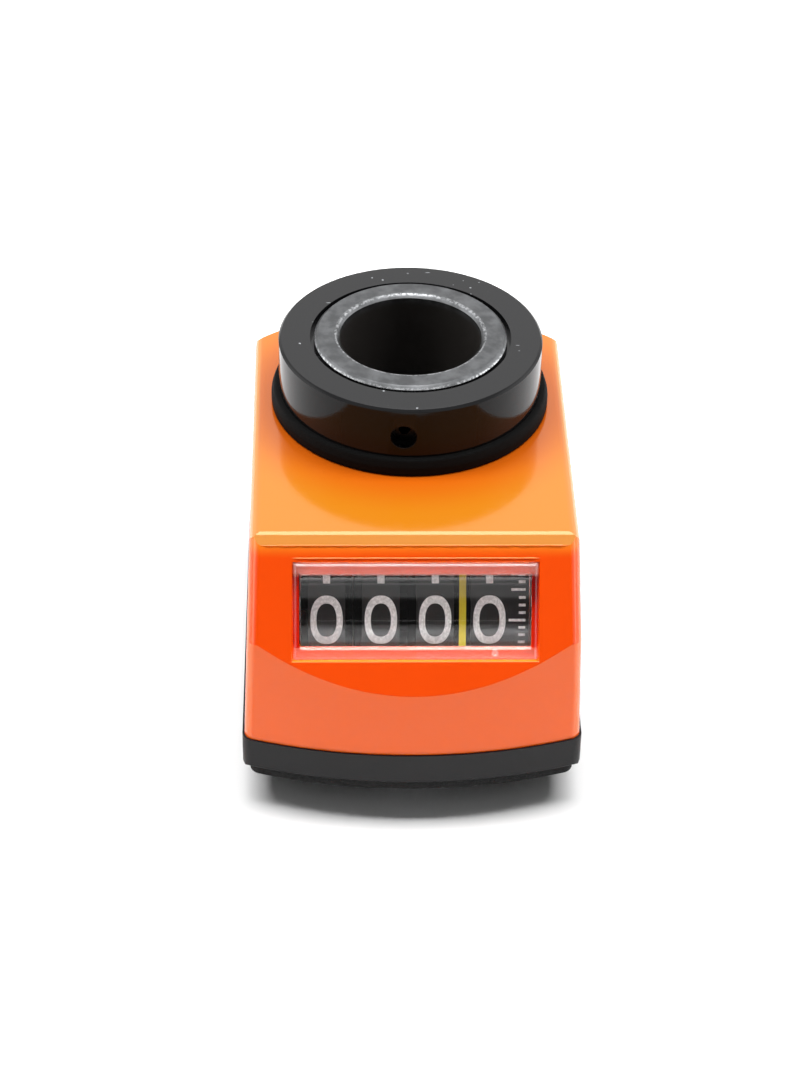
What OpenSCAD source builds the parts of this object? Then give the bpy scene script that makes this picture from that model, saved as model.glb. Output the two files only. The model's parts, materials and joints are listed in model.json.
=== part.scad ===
// Mechanical position indicator: a hollow shaft turns four number drums behind a lens.
// Millimetres. Z is the shaft axis, z = 0 is the seat plane and the display faces -Y.

/* [Hollow shaft] */
// Bore that takes the machine spindle
bore_d = 14; // [13:0.1:14.6]
// Wall of the tube inside the housing
shaft_wall = 1.3; // [1.1:0.1:1.6]
// Extra radius of the upper journal
journal_step = 1.2; // [0.8:0.1:1.4]
// Height of the tube over the collar top
shaft_stand = 0.3; // [0.1:0.05:0.5]
// Chamfer at the bore mouth and the outer top edge
shaft_chamfer = 0.35; // [0.2:0.05:0.5]

/* [Collar and seal] */
// Radial thickness of the collar around the journal
collar_wall = 3.5; // [3:0.1:4]
// Height of the collar over the seal
collar_h = 5.4; // [4.6:0.1:6.5]
// Width of the dark relief between shaft and collar
relief_w = 0.4; // [0.3:0.05:0.6]
// Depth of that relief
relief_h = 0.8; // [0.5:0.1:1.2]
// Height of the seal ring
seal_h = 1.75; // [1.4:0.05:2.2]
// Reach of the seal lip past the collar
seal_lip = 0.75; // [0.5:0.05:1]
// Set screw diameter
screw_d = 2.5; // [2:0.1:3]
// Distance of the set screw under the collar top
screw_drop = 3.1; // [2.4:0.1:3.6]
// Turn of the set screw away from the display centre line
screw_turn = -4; // [-20:1:20]

/* [Number drums] */
// Drum diameter over the numeral band
drum_d = 14.4; // [13.6:0.1:15]
// Spacing from numeral to numeral
digit_pitch = 5.17; // [5:0.01:5.5]
// Width of a numeral band
band_w = 3.57; // [3.3:0.01:3.7]
// Extra band width for the fine scale of the units drum
scale_w = 2; // [1.6:0.1:2.4]
// Offset of the drum row to the right
row_shift = 0.1; // [0:0.05:0.3]
// Depth of the gear rings under the band
ring_recess = 0.8; // [0.7:0.05:1]
// Drum axle diameter
axle_d = 2.5; // [2:0.1:3]
// Transfer pinion axle diameter
pinion_axle_d = 1.2; // [1:0.1:1.4]
// Height of the drum row over the base floor
drum_lift = 4.5; // [4.2:0.1:5]

/* [Gear train] */
// Width of the crown teeth and of their pinion
crown_face = 1; // [0.8:0.1:1.2]
// Width of the spur gears
spur_w = 0.8; // [0.6:0.1:1]
// Thickness of the crown gear disc
crown_disc = 1; // [0.8:0.1:1.2]
// Diameter of the arbor and idler pins
gear_pin_d = 1.7; // [1.4:0.1:2]

/* [Display] */
// Lean of the display face from upright
facet_lean = 26; // [22:0.5:30]
// Depth of the lens block behind the display face
lens_depth = 4; // [3.6:0.1:4.6]
// Gap between the lens and the drums
lens_gap = 0.5; // [0.4:0.05:0.8]
// Radius of the lens front
lens_r = 7.3; // [7:0.1:12]
// Rise of the lens front over the display face
lens_rise = 0.45; // [0.3:0.05:0.6]
// Height of the clear reading zone
view_h = 6.8; // [6.2:0.1:7.2]
// Width of the rim above and below the reading zone
rim_h = 1.3; // [1.1:0.1:1.5]
// Width of the rim beside the reading zone
rim_w = 0.65; // [0.55:0.05:0.8]
// Rise of the rim over the display face
rim_rise = 0.2; // [0.1:0.05:0.3]
// Depth of the rim in its rebate
rim_depth = 1.2; // [1:0.1:1.4]
// Width of the decimal line
marker_w = 0.65; // [0.4:0.05:0.7]
// Thickness of the decimal line
marker_t = 0.15; // [0.1:0.05:0.2]

/* [Housing] */
// Side wall thickness
wall = 1.4; // [1.2:0.1:1.6]
// Roof thickness
roof_t = 1.5; // [1.3:0.1:1.8]
// Thickness of the display wall
facet_wall = 2; // [1.8:0.1:2.2]
// Room over the drums
roof_gap = 3; // [2.8:0.1:3.6]
// Room beside the crown gear
side_room = 0.85; // [0.7:0.05:1.2]
// Room behind the crown gear
rear_room = 2.95; // [2.7:0.05:3.6]
// Taper of each side wall from seam to top
draft = 0.7; // [0.4:0.05:0.9]
// Chamfer round the top
top_chamfer = 0.85; // [0.5:0.05:1]
// Broken edge between the chamfer and the top
brow = 0.2; // [0.1:0.05:0.3]
// Radius along the sides of the top and of the display face
side_r = 1.2; // [0.8:0.1:1.4]
// Height of the upright front wall over the seam
front_wall_h = 7.3; // [6.4:0.1:8.2]
// Plan radius of the front wall
front_arc = 51; // [45:1:70]
// Plan radius of the rear wall
rear_arc = 24; // [22:0.5:30]
// Plan radius of the rear corners
corner_r = 2.2; // [1.8:0.1:2.6]
// Plan radius of the front corners
front_corner_r = 1.2; // [0.8:0.1:1.6]

/* [Base and fixing] */
// Foam gasket thickness
gasket_t = 1; // [0.8:0.1:1.5]
// Inset of the gasket from the base edge
gasket_inset = 0.7; // [0.5:0.05:0.9]
// Base floor thickness
floor_t = 1.6; // [1.4:0.1:2]
// Height of the black base wall
base_h = 3.7; // [3.5:0.1:4.2]
// Step of the base past the housing
base_proud = 0.2; // [0.1:0.05:0.3]
// Chamfer under the base
base_chamfer = 0.5; // [0.3:0.05:0.6]
// Torque pin diameter
pin_d = 6; // [5:0.1:6.4]
// Distance from the shaft axis to the torque pin
pin_y = 22; // [21.7:0.1:22.3]
// Reach of the torque pin under the seat plane
pin_reach = 2.5; // [2.2:0.1:6]
// Thread diameter of the base screws
base_screw_d = 2.2; // [2:0.1:2.4]

/* [Clearances] */
// Radial clearance of parts that turn on each other
run_clear = 0.05; // [0.03:0.01:0.07]
// Radial clearance of parts that are pressed together
seat_clear = 0.02; // [0.01:0.01:0.03]
// Axial clearance between neighbouring parts
side_clear = 0.15; // [0.1:0.01:0.18]
// Clearance between the drums and the shaft
drum_clear = 0.3; // [0.25:0.05:0.5]
// Thinning of each tooth flank for backlash
flank_clear = 0.06; // [0.05:0.01:0.08]
// Clearance between the lens and the housing
lens_clear = 0.08; // [0.05:0.01:0.12]

/* [Hidden] */
$fn = 64;
eps = 0.01;
far = 60;
// Ends a rounding a hair short of tangent, where it meets a face in a clean line
ease = 0.003;
pressure = 20;
flank_steps = 4;

// Tooth counts: one turn of the shaft is one turn of the units drum
crown_teeth = 32;
arbor_teeth = 16;
spur_teeth = 14;
units_teeth = spur_teeth * crown_teeth / arbor_teeth;
carry_teeth = 20;
pinion_teeth = 8;

// Shaft and collar
bore_r = bore_d / 2;
shaft_r = bore_r + shaft_wall;
journal_r = shaft_r + journal_step;
collar_r = journal_r + collar_wall;
seal_r = collar_r + seal_lip;
foot_step = 1;
foot_r = collar_r - foot_step;
screw_back = 0.15;
screw_sunk = 1.35;
screw_len = collar_r - bore_r - screw_back - screw_sunk;

// Drums
drum_r = drum_d / 2;
axle_r = axle_d / 2;
hub_wall = 0.95;
hub_r = axle_r + hub_wall;
flange_w = (digit_pitch - band_w - side_clear) / 2;
row_w = 3 * digit_pitch + flange_w + band_w + scale_w;
row_x = row_shift - row_w / 2;
row_end = row_x + row_w;
floor_z = gasket_t + floor_t;
drum_y = -(shaft_r + drum_clear + drum_r);
drum_z = floor_z + drum_lift + drum_r;

// Carry gears between the drums
carry_add = 0.8;
carry_ded = 1;
carry_m = (drum_r - ring_recess) / (carry_teeth / 2 + carry_add);
carry_dist = carry_m * (carry_teeth + pinion_teeth) / 2;
carry_dir = 230;
pinion_y = drum_y + carry_dist * cos(carry_dir);
pinion_z = drum_z + carry_dist * sin(carry_dir);
pinion_tip = carry_m * (pinion_teeth / 2 + carry_add);
driver_gap = 0.2;
driver_r = carry_dist - pinion_tip - driver_gap;
driver_step = 0.3;
driver_wall = 0.5;
driver_tooth = 0.8;
driver_spread = 9;

// Counter frame of sheet metal
frame_t = 0.7;
frame_edge = 3;
cheek_l = row_x - side_clear - frame_t;
cheek_r = row_end + side_clear;

// Gear train on the right of the frame
spur_x = cheek_r + frame_t + side_clear;
arbor_x = spur_x + spur_w + side_clear;
crown_mid = arbor_x + crown_face / 2;
crown_in = crown_mid - crown_face / 2 - run_clear;
crown_r = crown_mid + crown_face / 2 + run_clear;
crown_m = 2 * crown_mid / crown_teeth;
crown_add = 1;
crown_ded = 1.2;
thrust_h = 0.25;
crown_z = floor_z + thrust_h + run_clear;
crown_root = crown_z + crown_disc;
crown_pitch = crown_root + crown_ded * crown_m;
arbor_z = crown_pitch + crown_m * arbor_teeth / 2;
train_dist = norm([drum_y, drum_z - arbor_z]);
train_slack = 1.02;
spur_m = 2 * train_dist * train_slack / (3 * spur_teeth + units_teeth);
spur_add = 1;
spur_ded = 1.2;
leg_a = spur_m * spur_teeth;
leg_b = spur_m * (spur_teeth + units_teeth) / 2;
dir_ad = atan2(drum_z - arbor_z, drum_y);
dir_ai = dir_ad - acos((pow(leg_a, 2) + pow(train_dist, 2) - pow(leg_b, 2)) / (2 * leg_a * train_dist));
idler_y = leg_a * cos(dir_ai);
idler_z = arbor_z + leg_a * sin(dir_ai);
dir_id = atan2(drum_z - idler_z, drum_y - idler_y);
gear_pin_r = gear_pin_d / 2;
gear_hub_wall = 1;
gear_hub_r = gear_pin_r + gear_hub_wall;
arbor_phase = -90 + 180 / arbor_teeth;
idler_phase = dir_ai + 180 + 180 / spur_teeth;
idler_off = (dir_id - idler_phase) % (360 / spur_teeth);
units_phase = dir_id + 180 + idler_off * spur_teeth / units_teeth + 180 / units_teeth;

// Housing
facet_d = drum_r + lens_gap + lens_depth;
seam_z = gasket_t + base_h;
roof_z = drum_z + drum_r + roof_gap;
top_z = roof_z + roof_t;
edge_z = top_z - top_chamfer;
edge_y = facet_y(edge_z);
// Lean of the drafted sides, its trace on the display face and its part out of that face
side_lean = atan(draft / (edge_z - seam_z));
trace_turn = atan(tan(side_lean) * cos(facet_lean));
trace_lean = asin(sin(side_lean) * sin(facet_lean));
fold_z = seam_z + front_wall_h;
front_reach = -facet_y(fold_z);
view_s = (edge_y - drum_y + facet_d * cos(facet_lean)) * sin(facet_lean)
    + (edge_z - drum_z - facet_d * sin(facet_lean)) * cos(facet_lean);
half_w = crown_r + side_room + wall;
rear_reach = crown_r + rear_room;
front_cy = front_arc - front_reach;
rear_cy = rear_reach - rear_arc;

// Heights over the roof
seal_z = top_z + run_clear;
collar_z = seal_z + seal_h;
collar_top = collar_z + collar_h;
shaft_top = collar_top + shaft_stand;

// Retaining ring under the roof
clip_t = 1;
clip_gap = 0.2;
clip_z = roof_z - clip_gap - clip_t;
clip_groove = 0.5;
clip_lip = 1.8;
clip_land = 0.4;
clip_mouth = 9;
clip_r = journal_r + clip_lip;
journal_z = clip_z - clip_land;

// Screw bosses
boss_r = 2;
boss_gap = 0.45;
boss_h = 4.5;
boss_cap = 0.8;
rear_boss_dir = 40;
rear_boss = polar(crown_r + boss_gap + boss_r, rear_boss_dir);
front_boss_x = 9.5;
front_boss_in = 3.7;
front_boss = [front_boss_x, front_boss_in - front_reach];
bosses = [rear_boss, [-rear_boss[0], rear_boss[1]], front_boss, [-front_boss[0], front_boss[1]]];
boss_top = seam_z + boss_h;
screw_head_r = 1.9;
screw_head_h = 1.3;
screw_drive_r = 0.75;
screw_drive_h = 0.7;

// Torque pin seat and the pegs that hold the frame
pin_r = pin_d / 2;
pin_flange = 0.6;
pin_flange_r = pin_r + pin_flange;
pin_shoulder = 0.4;
pin_shank_r = pin_r - pin_shoulder;
pin_boss_wall = 1.2;
pin_boss_r = pin_r + pin_boss_wall;
pin_boss_h = 1.7;
pin_boss_z = floor_z + pin_boss_h;
pin_cap = 0.6;
pin_tip = 0.5;
hole_room = 0.3;
web_gap = 0.5;
web_front = -(pin_y - pin_boss_r - hole_room);
web_rear = -(crown_r + web_gap);
web_mid = (web_front + web_rear) / 2;
peg_r = 0.8;
peg_x = 7.5;
peg_h = 0.9;
thrust_wall = 1.7;

function facet_y(z) = drum_y - (facet_d - sin(facet_lean) * (z - drum_z)) / cos(facet_lean);
function polar(r, a) = [r * cos(a), r * sin(a)];
function inv_deg(r, rb) = let(a = acos(min(1, rb / r))) tan(a) * 180 / PI - a;
function tooth_half(r, n, m) = let(rp = m * n / 2, rb = rp * cos(pressure))
    90 / n - flank_clear / rp * 180 / PI + inv_deg(rp, rb) - inv_deg(max(r, rb), rb);
function flank(r0, ra) = [for (i = [0 : flank_steps]) r0 + (ra - r0) * i / flank_steps];
function tooth(n, m, add, ded) = let(
    rp = m * n / 2,
    rb = rp * cos(pressure),
    rf = rp - ded * m,
    radii = concat(rf < rb ? [rf] : [], flank(max(rb, rf), rp + add * m)))
    concat([for (r = radii) polar(r, -tooth_half(r, n, m))],
        [for (i = [len(radii) - 1 : -1 : 0]) polar(radii[i], tooth_half(radii[i], n, m))]);

// Toothed outline with a tooth centred on the first axis
module gear2d(n, m, add, ded, skip = 1) {
    circle(m * n / 2 - ded * m + eps);
    for (k = [0 : skip : n - 1]) {
        rotate(360 * k / n) polygon(concat([[0, 0]], tooth(n, m, add, ded)));
    }
}

// Stands a YZ outline up along X
module along_x(x, w) {
    translate([x, 0, 0]) rotate([90, 0, 90]) linear_extrude(w) children();
}

// Puts children on the drum axis, the arbor axis and so on
module at_axis(y, z) {
    translate([0, y, z]) children();
}

// Local frame of the display face: X, up the face, out of the face
module on_facet() {
    translate([0, edge_y, edge_z]) rotate([90 - facet_lean, 0, 0]) children();
}

// Everything behind the display face, less a depth
module behind_facet(depth) {
    on_facet() translate([-far, -far, -2 * far - depth]) cube(2 * far);
}

// Centre of the fillet between a side at x = h and an arc of radius r about y = cy
function fillet_at(r, cy, turn, h, f) = [h - f, cy + turn * sqrt(pow(r - f, 2) - pow(h - f, 2))];

// What a fillet takes off a corner, drawn about the fillet centre
module corner_piece(r, cy, turn, h, f) {
    over = 3;
    o = fillet_at(r, cy, turn, h, f);
    out = (o - [0, cy]) * (f + over) / (r - f);
    difference() {
        polygon([[0, 0], [f + over, 0], [f + over, turn * (f + over)], out]);
        circle(f);
    }
}

// Plan outline of the base, drawn in by inset all round
module plan(inset) {
    h = half_w - inset;
    difference() {
        intersection() {
            translate([0, front_cy]) circle(front_arc - inset);
            square([2 * h, 4 * far], center = true);
        }
        difference() {
            translate([-far, 0]) square(2 * far);
            translate([0, rear_cy]) circle(rear_arc - inset);
        }
        for (s = [0, 1]) {
            mirror([s, 0]) {
                plan_corner(rear_arc - inset, rear_cy, 1, h, corner_r - inset);
                plan_corner(front_arc - inset, front_cy, -1, h, front_corner_r);
            }
        }
    }
}

module plan_corner(r, cy, turn, h, f) {
    translate(fillet_at(r, cy, turn, h, f)) corner_piece(r, cy, turn, h, f);
}

// What lies behind a form turned about the centre of the rear arc
module behind_turned(points) {
    difference() {
        translate([-far, 0, -far]) cube(2 * far);
        translate([0, rear_cy, 0]) rotate_extrude() polygon(points);
    }
}

// Fillet that leans with the drafted side of the housing
module leaning_corner(r, cy, turn, f) {
    low = fillet_at(r, cy, turn, half_w, f);
    high = fillet_at(r, cy, turn, half_w - draft, f);
    step = [high[0] - low[0], high[1] - low[1], edge_z - seam_z];
    translate([low[0], low[1], seam_z]) rotate([-asin(step[1] / norm(step)), atan2(step[0], step[2]), 0]) {
        translate([0, 0, -frame_edge]) linear_extrude(far) corner_piece(r, cy, turn, half_w, f);
    }
}

// What a rounding takes off the corner at the origin, between a level face and a side that leans in
module edge_round(r, lean) {
    reach = 2 * r;
    translate([r * (sin(lean) - 1) / cos(lean), -r]) difference() {
        polygon([[0, 0], reach * [cos(lean), sin(lean)], [reach, reach], [0, reach]]);
        circle(r + ease);
    }
}

// Side to side section, extruded from front to rear
module front_view() {
    rotate([90, 0, 0]) linear_extrude(4 * far, center = true) children();
}

// Drafted section of the housing, rounded along the top
module shell_section() {
    top_w = half_w - tan(side_lean) * (top_z - seam_z);
    difference() {
        polygon([[-half_w, seam_z], [half_w, seam_z], [top_w, top_z], [-top_w, top_z]]);
        for (s = [0, 1]) {
            mirror([s, 0]) translate([top_w, top_z]) edge_round(side_r, side_lean);
        }
    }
}

// What a rounding takes off the right edge of the display face
module facet_side() {
    on_facet() translate([half_w - draft, 0, 0]) rotate([90, 0, trace_turn]) {
        linear_extrude(2 * far, center = true) edge_round(side_r, trace_lean);
    }
}

// Front to rear section, extruded from side to side
module side_view(points) {
    along_x(-far, 2 * far) polygon(points);
}

// Outer form of the housing
module shell_form() {
    past = edge_z + 2 * top_chamfer;
    difference() {
        intersection() {
            translate([0, front_cy, seam_z]) cylinder(r = front_arc, h = far);
            front_view() shell_section();
            side_view([[facet_y(seam_z), seam_z], [edge_y, edge_z],
                [edge_y + top_chamfer - brow * sin(45), top_z - brow * sin(45)],
                [edge_y + top_chamfer + brow, top_z], [far, top_z], [far, seam_z]]);
        }
        behind_turned([[0, 0], [rear_arc, 0], [rear_arc, edge_z],
            [rear_arc - 2 * top_chamfer, past], [0, past]]);
        for (s = [0, 1]) {
            mirror([s, 0, 0]) {
                leaning_corner(rear_arc, rear_cy, 1, corner_r);
                leaning_corner(front_arc, front_cy, -1, front_corner_r);
                facet_side();
            }
        }
    }
}

// Hollow of the housing
module shell_hollow() {
    over = wall;
    low = half_w - wall;
    high = low - draft * (roof_z - seam_z) / (edge_z - seam_z);
    intersection() {
        translate([0, 0, seam_z - over]) linear_extrude(roof_z - seam_z + over) plan(wall);
        front_view() polygon([[-low, seam_z - over], [low, seam_z - over], [low, seam_z], [high, roof_z],
            [-high, roof_z], [-low, seam_z]]);
        behind_facet(facet_wall);
    }
}

module tube(r, r_in, z, h) {
    translate([0, 0, z]) difference() {
        cylinder(r = r, h = h);
        translate([0, 0, -eps]) cylinder(r = r_in, h = h + 2 * eps);
    }
}

module housing() {
    view_w = row_w / 2 + lens_clear;
    color("darkorange") difference() {
        union() {
            difference() {
                shell_form();
                shell_hollow();
            }
            intersection() {
                translate([0, 0, seam_z]) linear_extrude(boss_h) plan(wall / 2);
                for (p = bosses) {
                    translate([p[0], p[1], seam_z]) cylinder(r = boss_r, h = boss_h);
                }
            }
        }
        for (p = bosses) {
            translate([p[0], p[1], seam_z - eps]) {
                cylinder(r = base_screw_d / 2 + seat_clear, h = boss_h - boss_cap);
            }
        }
        translate([0, 0, roof_z - roof_t]) cylinder(r = journal_r + run_clear, h = 3 * roof_t);
        on_facet() translate([row_shift, -view_s, 0]) {
            cut_w = 2 * (view_w + rim_w);
            cut_h = view_h + 2 * rim_h + 2 * lens_clear;
            translate([-cut_w / 2, -cut_h / 2, -rim_depth]) cube([cut_w, cut_h, far]);
            block_h = view_h + 2 * lens_clear;
            translate([-view_w, -block_h / 2, -lens_depth]) cube([2 * view_w, block_h, far]);
        }
    }
}

// Outer form of the base, chamfered underneath
module base_form() {
    low = gasket_t;
    high = low + base_chamfer;
    wide = half_w + base_proud;
    front = front_arc + base_proud;
    rear = rear_arc + base_proud;
    difference() {
        intersection() {
            translate([0, 0, low]) linear_extrude(base_h) plan(-base_proud);
            front_view() polygon([[-wide + base_chamfer, low], [wide - base_chamfer, low], [wide, high],
                [wide, seam_z], [-wide, seam_z], [-wide, high]]);
            translate([0, front_cy, 0]) rotate_extrude() polygon([
                [0, low], [front - base_chamfer, low], [front, high], [front, seam_z], [0, seam_z]]);
        }
        behind_turned([[0, low - base_chamfer], [rear - 2 * base_chamfer, low - base_chamfer], [rear, high],
            [rear, seam_z + base_chamfer], [0, seam_z + base_chamfer]]);
    }
}

module base_plate() {
    color("dimgray") difference() {
        union() {
            difference() {
                base_form();
                translate([0, 0, floor_z]) linear_extrude(base_h) plan(wall);
            }
            cylinder_on_floor(0, 0, shaft_r + thrust_wall, floor_z + thrust_h);
            cylinder_on_floor(0, -pin_y, pin_boss_r, pin_boss_z);
            for (s = [-1, 1]) {
                cylinder_on_floor(s * peg_x, web_mid, peg_r, floor_z + frame_t + peg_h);
            }
            intersection() {
                translate([0, 0, gasket_t]) linear_extrude(base_h) plan(wall / 2);
                for (p = bosses) {
                    cylinder_on_floor(p[0], p[1], boss_r, seam_z);
                }
            }
        }
        translate([0, 0, -eps]) cylinder(r = shaft_r + run_clear, h = far);
        translate([0, -pin_y, -eps]) cylinder(r = pin_shank_r + seat_clear, h = pin_boss_z - pin_cap);
        for (p = bosses) {
            translate([p[0], p[1], 0]) {
                cylinder(r = base_screw_d / 2 + lens_clear, h = far);
                cylinder(r = screw_head_r + lens_clear, h = gasket_t + screw_head_h + lens_clear);
            }
        }
    }
}

module cylinder_on_floor(x, y, r, top) {
    translate([x, y, gasket_t + eps]) cylinder(r = r, h = top - gasket_t - eps);
}

module base_gasket() {
    color("black") linear_extrude(gasket_t) difference() {
        plan(gasket_inset - base_proud);
        circle(shaft_r + thrust_wall / 2);
        translate([0, -pin_y]) circle(pin_flange_r + hole_room);
    }
}

// Shouldered pin, its flange fills the gasket's thickness
module torque_pin() {
    color("silver") translate([0, -pin_y, 0]) rotate_extrude() polygon([
        [0, -pin_reach], [pin_r - pin_tip, -pin_reach], [pin_r, pin_tip - pin_reach], [pin_r, 0],
        [pin_flange_r, 0], [pin_flange_r, gasket_t], [pin_shank_r, gasket_t],
        [pin_shank_r, pin_boss_z - pin_cap - seat_clear], [0, pin_boss_z - pin_cap - seat_clear]]);
}

module base_screws() {
    color("gray") for (p = bosses) {
        translate([p[0], p[1], gasket_t + run_clear]) difference() {
            union() {
                cylinder(r = screw_head_r, h = screw_head_h);
                cylinder(r = base_screw_d / 2, h = boss_top - gasket_t - boss_cap - hole_room);
            }
            translate([0, 0, -eps]) cylinder(r = screw_drive_r, h = screw_drive_h, $fn = 6);
        }
    }
}

// Clear block with a raised rim, a pocket and a magnifying front
module window_lens() {
    half_w_in = row_w / 2;
    half_w_out = half_w_in + rim_w;
    half_h_in = view_h / 2;
    half_h_out = half_h_in + rim_h;
    bevel = 0.3;
    slope = 0.5;
    color([0.85, 0.92, 0.95, 0.4]) on_facet() translate([row_shift, -view_s, 0]) difference() {
        intersection() {
            rotate([90, 0, 90]) linear_extrude(far, center = true) {
                polygon(rim_outline(half_h_out, half_h_in, bevel));
            }
            rotate([90, 0, 0]) linear_extrude(far, center = true) {
                polygon(rim_outline(half_w_out, half_w_in, bevel));
            }
        }
        difference() {
            translate([-half_w_in, 0, 0]) rotate([90, 0, 90]) linear_extrude(2 * half_w_in) polygon([
                [-half_h_in, -lens_rise], [half_h_in, -lens_rise],
                [half_h_in + slope, 2 * lens_rise], [-half_h_in - slope, 2 * lens_rise]]);
            translate([0, 0, lens_rise - lens_r]) rotate([0, 90, 0]) {
                cylinder(r = lens_r, h = far, center = true, $fn = 240);
            }
        }
    }
}

// Half section of the lens block with its rim
function rim_outline(out, in, bevel) = [
    [-in, -lens_depth], [in, -lens_depth], [in, -rim_depth], [out, -rim_depth],
    [out, rim_rise - bevel], [out - bevel, rim_rise],
    [in, rim_rise], [in, lens_rise + eps], [-in, lens_rise + eps], [-in, rim_rise],
    [-out + bevel, rim_rise], [-out, rim_rise - bevel], [-out, -rim_depth], [-in, -rim_depth]];

module decimal_marker() {
    x = row_x + 3 * digit_pitch - side_clear / 2;
    color("gold") on_facet() translate([x - marker_w / 2, -view_s - view_h / 2, -lens_depth - marker_t]) {
        cube([marker_w, view_h, marker_t]);
    }
}

module hollow_shaft() {
    c = shaft_chamfer;
    color("slategray") difference() {
        rotate_extrude() polygon([
            [bore_r, 0], [shaft_r - c, 0], [shaft_r, c], [shaft_r, journal_z], [journal_r, journal_z],
            [journal_r, clip_z], [journal_r - clip_groove, clip_z],
            [journal_r - clip_groove, clip_z + clip_t], [journal_r, clip_z + clip_t],
            [journal_r, shaft_top - c], [journal_r - c, shaft_top], [bore_r + c, shaft_top],
            [bore_r, shaft_top - c]]);
        set_screw_axis() cylinder(r = screw_d / 2 + seat_clear, h = far);
    }
}

// Z runs out of the collar along the set screw
module set_screw_axis() {
    translate([0, 0, collar_top - screw_drop]) rotate([90, 0, screw_turn]) children();
}

module collar() {
    edge = 0.25;
    bore = journal_r + seat_clear;
    color("black") difference() {
        rotate_extrude() polygon([
            [bore, seal_z], [foot_r, seal_z], [foot_r, collar_z], [collar_r, collar_z],
            [collar_r, collar_top - edge], [collar_r - edge, collar_top],
            [journal_r + relief_w, collar_top], [journal_r + relief_w, collar_top - relief_h],
            [bore, collar_top - relief_h]]);
        set_screw_axis() cylinder(r = screw_d / 2 + seat_clear, h = far);
    }
}

module set_screw() {
    socket_r = screw_d / 4;
    socket_h = 1.3;
    color("darkgray") set_screw_axis() translate([0, 0, bore_r + screw_back]) difference() {
        cylinder(r = screw_d / 2, h = screw_len);
        translate([0, 0, screw_len - socket_h]) cylinder(r = socket_r, h = 2 * socket_h, $fn = 6);
    }
}

module seal_ring() {
    bore = foot_r + seat_clear;
    bead = 0.5;
    color("black") rotate_extrude() polygon([
        [bore, seal_z], [seal_r, seal_z], [seal_r, seal_z + seal_h / 2],
        [seal_r - bead / 2, collar_z - bead / 4], [seal_r - bead, collar_z], [bore, collar_z]]);
}

module retaining_ring() {
    color("dimgray") difference() {
        tube(clip_r, journal_r - clip_groove + seat_clear, clip_z + run_clear, clip_t - 2 * run_clear);
        translate([0, clip_r, clip_z]) cube([clip_mouth, 2 * clip_r - journal_r, 3 * clip_t], center = true);
    }
}

// Face gear pressed on the shaft, teeth up
module crown_gear() {
    tip = crown_pitch + crown_add * crown_m;
    half = PI * crown_mid / crown_teeth / 2 - flank_clear;
    lean = tan(pressure);
    tooth_w = crown_r - crown_in - 2 * run_clear;
    hub_h = drum_lift - thrust_h - hole_room;
    color("ivory") {
        tube(crown_r, shaft_r + seat_clear, crown_z, crown_disc);
        tube(shaft_r + thrust_wall, shaft_r + seat_clear, crown_z, hub_h);
        for (k = [0 : crown_teeth - 1]) {
            rotate(360 * k / crown_teeth) along_x(crown_in, tooth_w) polygon([
                [-half - lean * crown_ded * crown_m, crown_root - eps],
                [half + lean * crown_ded * crown_m, crown_root - eps],
                [half - lean * crown_add * crown_m, tip], [-half + lean * crown_add * crown_m, tip]]);
        }
    }
}

module arbor_gear() {
    color("ivory") at_axis(0, arbor_z) difference() {
        union() {
            along_x(arbor_x, crown_face) rotate(arbor_phase) {
                gear2d(arbor_teeth, crown_m, crown_add, crown_ded);
            }
            along_x(spur_x, spur_w) rotate(dir_ai) gear2d(spur_teeth, spur_m, spur_add, spur_ded);
            along_x(spur_x, arbor_x + crown_face - spur_x) circle(gear_hub_r);
        }
        along_x(0, far) circle(gear_pin_r + run_clear);
    }
}

module idler_gear() {
    color("ivory") at_axis(idler_y, idler_z) along_x(spur_x, spur_w) difference() {
        rotate(idler_phase) gear2d(spur_teeth, spur_m, spur_add, spur_ded);
        circle(gear_pin_r + run_clear);
    }
}

module units_gear() {
    color("ivory") at_axis(drum_y, drum_z) along_x(spur_x, spur_w) difference() {
        rotate(units_phase) gear2d(units_teeth, spur_m, spur_add, spur_ded);
        circle(hub_r + seat_clear);
    }
}

module arbor_pin() {
    color("silver") at_axis(0, arbor_z) {
        along_x(cheek_r, arbor_x + crown_face + side_clear - cheek_r) circle(gear_pin_r);
    }
}

module idler_pin() {
    color("silver") at_axis(idler_y, idler_z) {
        along_x(cheek_r, spur_x + spur_w + side_clear / 3 - cheek_r) circle(gear_pin_r);
    }
}

module drum_axle() {
    over = 0.4;
    color("silver") at_axis(drum_y, drum_z) {
        along_x(cheek_l - over, spur_x + spur_w - cheek_l + over) circle(axle_r);
    }
}

module pinion_axle() {
    over = 0.2;
    color("silver") at_axis(pinion_y, pinion_z) {
        along_x(cheek_l - over, cheek_r + frame_t - cheek_l + 2 * over) circle(pinion_axle_d / 2);
    }
}

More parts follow.
